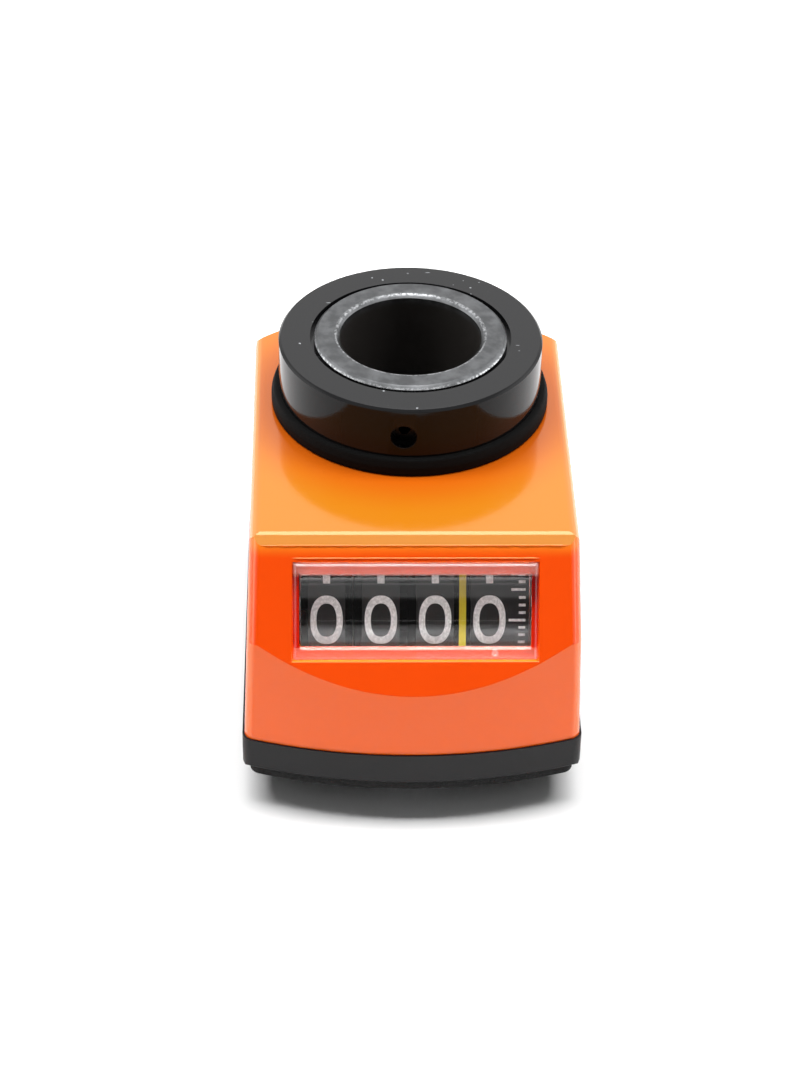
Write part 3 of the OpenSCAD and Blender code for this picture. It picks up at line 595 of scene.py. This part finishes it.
def burnished_steel(colours):
    """Dark turned steel, rubbed bright along its edges, with painted shade turning it black inside
    the bore.
    """
    finish = Finish("burnished_steel")
    radius, height = finish.parts_of_place()
    cloud = finish.noise(1.6, detail=4, rough=0.6)
    chips = finish.noise(0.3, detail=4, rough=0.7)
    grey = finish.blend(finish.remap(cloud, 0.35, 0.68), shaded(colours.steel, 0.85),
                        shaded(colours.steel, 1.35))
    rubbed = 0.0
    for edge in (SHAFT_RADIUS, BORE_RADIUS + BORE_CHAMFER):
        gap = finish.math("ABSOLUTE", finish.math("SUBTRACT", radius, edge))
        rubbed = finish.math("MAXIMUM", finish.remap(gap, 0.22 * MM, 0.05 * MM), rubbed)
    rubbed = finish.math("MULTIPLY", rubbed, finish.remap(chips, 0.42, 0.6))
    metal = finish.blend(rubbed, grey, colours.bright)
    # Painted shade: black and not metallic, deeper inside the bore
    deep = finish.math("MULTIPLY", finish.remap(radius, BORE_RADIUS + 0.1 * MM, BORE_RADIUS),
                       finish.remap(height, SHAFT_TOP - 0.3 * MM, SHAFT_TOP - 1.2 * MM))
    finish.join(finish.blend(deep, metal, colours.oxide), "Base Color")
    finish.join(finish.math("SUBTRACT", 1.0, deep), "Metallic")
    wear = finish.math("MULTIPLY", rubbed, -0.12)
    finish.join(finish.math("ADD", finish.remap(cloud, 0.3, 0.7, 0.34, 0.42), wear), "Roughness")
    rings = finish.round_shaft(0.12, detail=4)
    finish.join(finish.emboss(rings, 0.003, finish.emboss(chips, 0.004)), "Normal")
    return finish.material


def plated(name, base):
    """Plated or blackened steel with a fine brushed grain."""
    finish = Finish(name)
    finish.set(Metallic=1.0)
    grain = finish.noise(0.2, detail=5, rough=0.6)
    cloud = finish.noise(2.5, detail=2)
    finish.join(finish.blend(cloud, base, shaded(base, 0.82)), "Base Color")
    finish.join(finish.remap(grain, 0.3, 0.7, 0.26, 0.4), "Roughness")
    finish.join(finish.emboss(grain, 0.002), "Normal")
    return finish.material


def foam_black(colours):
    """Closed-cell foam: fine pits all over."""
    finish = Finish("foam_black")
    finish.set(Specular_IOR_Level=0.3)
    pits = finish.cells(0.28)
    fine = finish.noise(0.12, detail=3)
    finish.join(finish.blend(finish.remap(pits, 0.1, 0.6), shaded(colours.foam, 0.4), colours.foam),
                "Base Color")
    finish.join(finish.remap(fine, 0.3, 0.7, 0.8, 0.97), "Roughness")
    finish.join(finish.emboss(pits, 0.05, finish.emboss(fine, 0.01)), "Normal")
    return finish.material


def clear_lens(colours, sizes):
    """Clear window with hairline haze, an upper and lower rim that is hazier and painted pale pink as
    light, and shaded ends.
    """
    finish = Finish("clear_lens")
    finish.set(IOR=1.49)
    haze = finish.noise(1.2, detail=5, rough=0.7)
    upward = leaning_plane(NODES["housing"].data)[2]
    corners = [v.co for v in NODES["window_lens"].data.vertices]
    masks = []
    for way, width in ((upward, sizes.rim_height), (Vector((1, 0, 0)), sizes.rim_width)):
        reach = [corner.dot(way) for corner in corners]
        middle, half = (max(reach) + min(reach)) / 2, (max(reach) - min(reach)) / 2
        along = finish.vector("DOT_PRODUCT", finish.place, way)
        off = finish.math("ABSOLUTE", finish.math("SUBTRACT", along, middle))
        masks.append(finish.remap(off, half - width, half - width + 0.1 * MM))
    rim, ends = masks
    ends = finish.math("MULTIPLY", ends, finish.math("SUBTRACT", 1.0, rim))
    # Painted light on the upper and lower rim, painted shade at the ends
    tone = finish.blend(rim, colours.clear, colours.clear_rim)
    finish.join(finish.blend(ends, tone, colours.clear_end), "Base Color")
    finish.join(finish.remap(rim, 0, 1, 1.0, 0.9), "Transmission Weight")
    worn = finish.math("MULTIPLY", rim, finish.remap(haze, 0.35, 0.65, 0.04, 0.16))
    finish.join(finish.math("ADD", finish.remap(haze, 0.45, 0.75, 0.0, 0.05), worn), "Roughness")
    finish.join(finish.emboss(haze, 0.0003), "Normal")
    return finish.material


# Operators, one for each piece or group of like pieces

class INDICATOR_OT_housing(bpy.types.Operator):
    """Builds the orange housing with rounded moulded edges"""

    bl_idname = "indicator.housing"
    bl_label = "Housing"

    def execute(self, context):
        sizes = context.scene.indicator_sizes
        shell = copy_of_node("housing", "housing_shell", SLIVER)
        low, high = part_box("housing")
        outer = outer_edge((low + high) / 2)
        point, normal, upward = leaning_plane(shell.data)

        def on_display(corner):
            return abs((corner - point).dot(normal)) < SLIVER

        def at_window(edge):
            return all(on_display(v.co) for v in edge.verts) and not outer(edge)

        def outside(edge):
            return outer(edge) and middle_of(edge).z > SHARP_BELOW

        under_chamfer, over_window = self.long_edges(shell.data, on_display)
        raised = [end + upward * sizes.ridge_lift for end in over_window]
        lines = [ridge(*ends, sizes.ridge) for ends in (under_chamfer, raised)]
        round_edges(shell, sizes.window_edge, at_window, segments=2)
        round_edges(shell, sizes.shell_edge, outside)
        shell = join_all([shell, *lines], "housing_shell")
        gloss = orange_gloss(context.scene.indicator_colours)
        finish_piece(shell, "case", "orange_gloss", gloss, "housing")
        return {"FINISHED"}

    @staticmethod
    def long_edges(mesh, on_display):
        """Ends of the two highest long edges of the display face, of which one tops the window."""
        across = []
        for edge in mesh.edges:
            ends = [mesh.vertices[v].co.copy() for v in edge.vertices]
            left, right = sorted(ends, key=lambda end: end.x)
            level_edge = abs(right.z - left.z) < SLIVER and right.x - left.x > LONG_EDGE
            if level_edge and on_display(left) and on_display(right):
                across.append((left, right))
        return sorted(across, key=lambda ends: -ends[0].z)[:2]


class INDICATOR_OT_base(bpy.types.Operator):
    """Builds the black base and the foam gasket under it"""

    bl_idname = "indicator.base"
    bl_label = "Base and gasket"

    def execute(self, context):
        sizes = context.scene.indicator_sizes
        colours = context.scene.indicator_colours
        base = copy_of_node("base_plate", "base_shell")
        low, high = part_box("base_plate")
        outer = outer_edge((low + high) / 2)
        # The bosses inside lie nearer to the shaft axis than this
        rim = high.x * 0.55

        def on_rim(edge):
            middle = middle_of(edge)
            return outer(edge) and (abs(middle.x) > rim or abs(middle.y) > rim)

        round_edges(base, sizes.base_edge, on_rim)
        finish_piece(base, "case", "black_satin", black_satin(colours), "base_plate")
        foam = copy_of_node("base_gasket", "foam_gasket")
        low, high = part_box("base_gasket")
        round_edges(foam, sizes.foam_edge, outer_edge((low + high) / 2))
        finish_piece(foam, "case", "foam", foam_black(colours), "base_gasket")
        return {"FINISHED"}


class INDICATOR_OT_collar(bpy.types.Operator):
    """Builds the shaft, the collar round it and the seal ring"""

    bl_idname = "indicator.collar"
    bl_label = "Shaft, collar and seal"

    def execute(self, context):
        sizes = context.scene.indicator_sizes
        colours = context.scene.indicator_colours
        work = (
            ("hollow_shaft", "steel_shaft", sizes.metal_edge, "burnished_steel", burnished_steel),
            ("collar", "collar_ring", sizes.collar_edge, "black_gloss", black_gloss),
            ("seal_ring", "rubber_seal", sizes.seal_edge, "seal_rubber", seal_rubber))
        for node, name, radius, slot, finish in work:
            piece = copy_of_node(node, name)
            round_edges(piece, radius, lambda e: e.is_convex)
            finish_piece(piece, "shaft", slot, finish(colours), node)
        return {"FINISHED"}


class INDICATOR_OT_window(bpy.types.Operator):
    """Builds the clear window lens"""

    bl_idname = "indicator.window"
    bl_label = "Window lens"

    def execute(self, context):
        sizes = context.scene.indicator_sizes
        lens = copy_of_node("window_lens", "clear_window")
        low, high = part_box("window_lens")
        gate = self.gate_mark(lens.data, sizes)
        round_edges(lens, sizes.lens_edge, outer_edge((low + high) / 2), segments=2)
        lens = join_all([lens, gate], "clear_window")
        clear = clear_lens(context.scene.indicator_colours, sizes)
        finish_piece(lens, "case", "clear", clear, "window_lens")
        lens.visible_shadow = False
        return {"FINISHED"}

    @staticmethod
    def gate_mark(mesh, sizes):
        """A low dimpled stud on the lower rim, to the right, where the mould was filled."""
        radius = sizes.gate
        _, normal, upward = leaning_plane(NODES["housing"].data)
        rim = [mesh.vertices[v].co for face in mesh.polygons
               if face.normal.dot(normal) > 0.99999 for v in face.vertices]
        bpy.ops.object.select_all(action="DESELECT")
        bpy.ops.mesh.primitive_cylinder_add(vertices=32, radius=radius, depth=radius)
        stud = bpy.context.object
        select_only(stud)
        bpy.ops.object.mode_set(mode="EDIT")
        bpy.ops.mesh.select_mode(type="FACE")
        bpy.ops.mesh.select_all(action="DESELECT")
        shape = bmesh.from_edit_mesh(stud.data)
        for face in shape.faces:
            face.select_set(face.normal.z > 0.9)
        bmesh.update_edit_mesh(stud.data)
        for step, rise in ((0.25, 0.12), (0.3, -0.2)):
            bpy.ops.mesh.inset(thickness=radius * step)
            bpy.ops.transform.translate(value=(0, 0, radius * rise))
        bpy.ops.object.mode_set(mode="OBJECT")
        lift, sink = radius * 1.3, radius * 0.42
        place = min(rim, key=lambda co: co.z) + upward * lift - normal * sink
        place.x = sizes.gate_right
        turn = normal.to_track_quat("Z", "Y").to_matrix().to_4x4()
        stud.data.transform(Matrix.Translation(place) @ turn)
        return stud


# Print on the drums

def rim_span(node):
    """Lowest and highest X of a drum's full rim."""
    rim = [v.co.x for v in NODES[node].data.vertices
           if math.hypot(v.co.y - DRUM_AXIS.y, v.co.z - DRUM_AXIS.z) > DRUM_RADIUS - 0.02 * MM]
    return min(rim), max(rim)


def lay_on_drum(piece, turn, x):
    """Bends a flat print round the drum, with the top of the page further round."""
    for vertex in piece.data.vertices:
        at = turn + vertex.co.y / DRUM_RADIUS
        reach = DRUM_RADIUS + vertex.co.z
        y, z = -reach * math.cos(at), reach * math.sin(at)
        vertex.co = (x + vertex.co.x, DRUM_AXIS.y + y, DRUM_AXIS.z + z)


def thicken(piece, sizes):
    """Gives a flat print its thickness, from its root in the drum to its top."""
    select_only(piece)
    if piece.data.polygons[0].normal.z < 0:
        piece.data.flip_normals()
    solid = piece.modifiers.new("thickness", "SOLIDIFY")
    solid.thickness = sizes.print_height + sizes.print_root
    solid.offset = (sizes.print_height - sizes.print_root) / solid.thickness
    bpy.ops.object.modifier_apply(modifier=solid.name)


def glyph_of(digit):
    """A flat numeral from the built-in font."""
    bpy.ops.object.select_all(action="DESELECT")
    bpy.ops.object.text_add()
    glyph = bpy.context.object
    glyph.data.body = str(digit)
    glyph.data.align_x = "CENTER"
    glyph.data.fill_mode = "FRONT"
    glyph.data.resolution_u = 12
    bpy.ops.object.convert(target="MESH")
    return bpy.context.object


def nought(sizes):
    """The flat numeral nought, a full oval drawn in to a second oval."""
    fullness = 0.86
    half = Vector((sizes.numeral_width / 2, sizes.numeral_height / 2, 1))
    stroke = sizes.numeral_stroke
    bpy.ops.object.select_all(action="DESELECT")
    bpy.ops.mesh.primitive_circle_add(vertices=96, radius=1)
    ring = bpy.context.object
    for vertex in ring.data.vertices:
        vertex.co = [math.copysign(abs(c) ** fullness, c) for c in vertex.co]
    bpy.ops.object.mode_set(mode="EDIT")
    bpy.ops.mesh.select_all(action="SELECT")
    bpy.ops.transform.resize(value=half)
    bpy.ops.mesh.extrude_region_move()
    bpy.ops.transform.resize(value=(1 - stroke / half.x, 1 - stroke / half.y, 1))
    bpy.ops.object.mode_set(mode="OBJECT")
    return ring


def spread(piece):
    """Lowest and highest corner of a flat piece."""
    xs = [v.co.x for v in piece.data.vertices]
    ys = [v.co.y for v in piece.data.vertices]
    return Vector((min(xs), min(ys), 0)), Vector((max(xs), max(ys), 0))


class INDICATOR_OT_numerals(bpy.types.Operator):
    """Prints the numerals round the four drums"""

    bl_idname = "indicator.numerals"
    bl_label = "Numerals"

    def execute(self, context):
        sizes = context.scene.indicator_sizes
        ink = numeral_white(context.scene.indicator_colours)
        pattern = glyph_of(0)
        low, high = spread(pattern)
        span = high - low
        grow = Vector((sizes.numeral_width / span.x, sizes.numeral_height / span.y, 1))
        bpy.data.objects.remove(pattern)
        masters = [nought(sizes)]
        for digit in range(1, DIGITS):
            masters.append(glyph_of(digit))
            self.fit(masters[-1], grow, (low + high) / 2)
        for master in masters:
            thicken(master, sizes)
        for body in ("units", "tens", "hundreds", "thousands"):
            x = self.middle_of_band(body)
            prints = []
            for digit, master in enumerate(masters):
                piece = copy_of(master, f"{body}_{digit}")
                lay_on_drum(piece, sizes.reading_lift + digit * DIGIT_TURN, x)
                prints.append(piece)
            finish_piece(join_all(prints, f"{body}_numerals"), body, None, ink)
        for master in masters:
            bpy.data.objects.remove(master)
        return {"FINISHED"}

    @staticmethod
    def middle_of_band(body):
        """X of the numerals, the middle of the band that all drums have."""
        low, high = rim_span("tens_drum")
        return rim_span(f"{body}_drum")[0] + (high - low) / 2

    @staticmethod
    def fit(master, grow, centre):
        """Scales a glyph to size and cuts it across, so that it can bend."""
        select_only(master)
        for vertex in master.data.vertices:
            vertex.co = (vertex.co - centre) * grow
        cuts = 16
        low, high = spread(master)
        bpy.ops.object.mode_set(mode="EDIT")
        for cut in range(1, cuts):
            bpy.ops.mesh.select_all(action="SELECT")
            bpy.ops.mesh.bisect(plane_co=low.lerp(high, cut / cuts), plane_no=(0, 1, 0))
        bpy.ops.object.mode_set(mode="OBJECT")


class INDICATOR_OT_scale(bpy.types.Operator):
    """Prints the fine scale on the right of the units drum"""

    bl_idname = "indicator.scale"
    bl_label = "Fine scale"

    def execute(self, context):
        sizes = context.scene.indicator_sizes
        steps = 8
        edge = rim_span("units_drum")[1] - sizes.tick_margin
        reaches = [sizes.tick_short] * steps
        reaches[0], reaches[steps // 2] = sizes.tick_long, sizes.tick_half
        masters = {reach: self.line(reach, sizes) for reach in set(reaches)}
        lines = []
        for step in range(steps * DIGITS):
            reach = reaches[step % steps]
            lines.append(copy_of(masters[reach], f"line_{step}"))
            turn = sizes.reading_lift + step * DIGIT_TURN / steps
            lay_on_drum(lines[-1], turn, edge - reach / 2)
        for master in masters.values():
            bpy.data.objects.remove(master)
        ink = bpy.data.materials["numeral_white"]
        finish_piece(join_all(lines, "fine_scale"), "units", None, ink)
        return {"FINISHED"}

    @staticmethod
    def line(reach, sizes):
        """A flat line of that length, made as thick as the print."""
        bpy.ops.object.select_all(action="DESELECT")
        bpy.ops.mesh.primitive_plane_add(size=1)
        line = bpy.context.object
        bpy.ops.transform.resize(value=(reach, sizes.tick_width, 1))
        bpy.ops.object.transform_apply(location=True, rotation=True, scale=True)
        thicken(line, sizes)
        return line


class INDICATOR_OT_mechanism(bpy.types.Operator):
    """Finishes the drums, gears, pins and screws that keep their CAD shape"""

    bl_idname = "indicator.mechanism"
    bl_label = "Mechanism"

    def execute(self, context):
        colours = context.scene.indicator_colours
        paint_node(drum_black(colours), "units_drum", "tens_drum", "hundreds_drum", "thousands_drum")
        paint_node(gear_plastic(colours), "crown_gear", "arbor_gear", "idler_gear", "units_gear",
                   "transfer_pinion_1", "transfer_pinion_2", "transfer_pinion_3")
        paint_node(plated("zinc_steel", colours.zinc), "counter_frame", "drum_axle", "pinion_axle",
                   "idler_pin", "arbor_pin", "base_screws", "torque_pin", "retaining_ring")
        paint_node(plated("black_steel", shaded(colours.oxide, 0.6)), "set_screw")
        paint_node(marker_yellow(colours), "decimal_marker")
        return {"FINISHED"}


class INDICATOR_OT_studio(bpy.types.Operator):
    """Sets up the floor, the light and the camera"""

    bl_idname = "indicator.studio"
    bl_label = "Studio"

    def execute(self, context):
        studio = context.scene.indicator_studio
        self.floor(context)
        self.room(context.scene, studio)
        self.soft_box(context.scene, studio)
        self.camera(context.scene, studio)
        context.scene.view_settings.view_transform = "Standard"
        return {"FINISHED"}

    @staticmethod
    def floor(context):
        """A pale floor under the pin's tip and the gasket's rear edge, white far from the part."""
        pin_low, pin_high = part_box("torque_pin")
        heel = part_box("base_gasket")[1].y
        tip = (pin_low.y + pin_high.y) / 2 + PIN_FLAT
        bpy.ops.object.select_all(action="DESELECT")
        bpy.ops.mesh.primitive_plane_add(size=3)
        floor = context.object
        floor.name = "floor"
        slope = math.atan2(-pin_low.z, heel - tip)
        lay = Matrix.Translation((0, heel, -FLOOR_GAP)) @ Matrix.Rotation(slope, 4, "X")
        floor.data.transform(lay)
        finish = Finish("floor_white")
        pale = context.scene.indicator_colours.floor
        finish.set(Roughness=0.8, Specular_IOR_Level=0.1, Emission_Color=(1, 1, 1))
        grain = finish.noise(3, detail=4)
        finish.join(finish.blend(grain, pale, shaded(pale, 0.985)), "Base Color")
        far = finish.remap(finish.parts_of_place()[0], *FLOOR_FADE)
        seen = finish.node("ShaderNodeLightPath").outputs["Is Camera Ray"]
        finish.join(finish.math("MULTIPLY", far, seen), "Emission Strength")
        floor.data.materials.append(finish.material)

    @staticmethod
    def room(scene, studio):
        """White surroundings, dark behind the camera, with a bright ceiling and sides for gloss."""
        scene.world = bpy.data.worlds.new("room")
        scene.world.use_nodes = True
        kit = NodeKit(scene.world.node_tree)
        x, y, z = kit.split(kit.node("ShaderNodeTexCoord").outputs["Generated"])
        ray = kit.node("ShaderNodeLightPath").outputs
        mirrored = ray["Is Glossy Ray"]

        def times(a, b):
            return kit.math("MULTIPLY", a, b)

        def above(low, high):
            """From 0 to 1 between two heights over the horizon, in degrees."""
            return kit.remap(z, math.sin(math.radians(low)), math.sin(math.radians(high)))

        dark = times(kit.remap(y, -0.72, -0.86), above(39, 35))
        ceiling = times(above(60, 70), studio.sky_level - studio.mirror_level)
        sides = times(kit.remap(kit.math("ABSOLUTE", x), 0.74, 0.9),
                      studio.side_level - studio.mirror_level)
        horizon = times(above(0.2, 0.6), above(2.2, 1.6))
        seen = kit.math("MAXIMUM", mirrored, ray["Is Transmission Ray"])
        gain = studio.mirror_level - studio.room_level
        light = kit.math("ADD", studio.room_level, times(seen, gain))
        light = kit.math("ADD", light, times(mirrored, kit.math("ADD", ceiling, sides)))
        light = times(light, kit.math("SUBTRACT", 1.0, times(dark, 1 - studio.dark_level)))
        light = kit.math("ADD", light, times(mirrored, horizon))
        back = kit.tree.nodes["Background"].inputs
        kit.tree.links.new(kit.math("MAXIMUM", light, ray["Is Camera Ray"]), back["Strength"])
        back["Color"].default_value = (1, 1, 1, 1)

    @staticmethod
    def soft_box(scene, studio):
        """One soft box over the part and a little behind it."""
        light = bpy.data.lights.new("soft_box", "AREA")
        light.energy = studio.box_power
        light.shape = "RECTANGLE"
        light.size = studio.box_width
        light.size_y = studio.box_depth
        lamp = bpy.data.objects.new("soft_box", light)
        lean = Matrix.Rotation(studio.box_lift - math.pi / 2, 4, "X")
        lamp.matrix_world = lean @ Matrix.Translation((0, 0, studio.box_distance))
        lamp.visible_camera = False
        lamp.visible_glossy = False
        scene.collection.objects.link(lamp)

    @staticmethod
    def camera(scene, studio):
        """The photograph's viewing angle."""
        lens = bpy.data.cameras.new("camera")
        lens.sensor_width = SENSOR
        lens.lens = studio.focal_pixels / PHOTO_HEIGHT * SENSOR
        lens.clip_start = 0.01
        camera = bpy.data.objects.new("camera", lens)
        lift = studio.view_lift
        right = Vector((1, 0, 0))
        up = Vector((0, math.sin(lift), math.cos(lift)))
        back = Vector((0, -math.cos(lift), math.sin(lift)))
        stand = right * studio.aim_right + up * studio.aim_up + back * studio.view_distance
        turn = Matrix.Rotation(-studio.view_turn, 4, "Z")
        pose = Matrix((right, up, back)).transposed().to_4x4()
        roll = Matrix.Rotation(studio.view_roll, 4, "Z")
        camera.matrix_world = turn @ Matrix.Translation(stand) @ pose @ roll
        scene.collection.objects.link(camera)
        scene.camera = camera


class INDICATOR_PT_panel(bpy.types.Panel):
    """Lists the steps, sizes and colours in the sidebar"""

    bl_idname = "INDICATOR_PT_panel"
    bl_label = "Position Indicator"
    bl_space_type = "VIEW_3D"
    bl_region_type = "UI"
    bl_category = "Indicator"

    def draw(self, context):
        column = self.layout.column()
        for step in STEPS:
            column.operator(step.bl_idname)
        for group in (context.scene.indicator_sizes, context.scene.indicator_colours,
                      context.scene.indicator_studio):
            for name in group.bl_rna.properties.keys():
                if name not in ("rna_type", "name"):
                    column.prop(group, name)


STEPS = (
    INDICATOR_OT_housing, INDICATOR_OT_base, INDICATOR_OT_collar, INDICATOR_OT_window,
    INDICATOR_OT_numerals, INDICATOR_OT_scale, INDICATOR_OT_mechanism, INDICATOR_OT_studio)
GROUPS = (IndicatorSizes, IndicatorColours, IndicatorStudio)


def register():
    """Registers the classes and the settings on the scene."""
    for item in (*GROUPS, *STEPS, INDICATOR_PT_panel):
        bpy.utils.register_class(item)
    bpy.types.Scene.indicator_sizes = PointerProperty(type=IndicatorSizes)
    bpy.types.Scene.indicator_colours = PointerProperty(type=IndicatorColours)
    bpy.types.Scene.indicator_studio = PointerProperty(type=IndicatorStudio)


def unregister():
    """Takes the settings and the classes away again."""
    del bpy.types.Scene.indicator_studio
    del bpy.types.Scene.indicator_colours
    del bpy.types.Scene.indicator_sizes
    for item in reversed((*GROUPS, *STEPS, INDICATOR_PT_panel)):
        bpy.utils.unregister_class(item)


def main():
    """Runs the steps in order."""
    register()
    for step in STEPS:
        group, name = step.bl_idname.split(".")
        getattr(getattr(bpy.ops, group), name)()


if __name__ == "__main__":
    main()
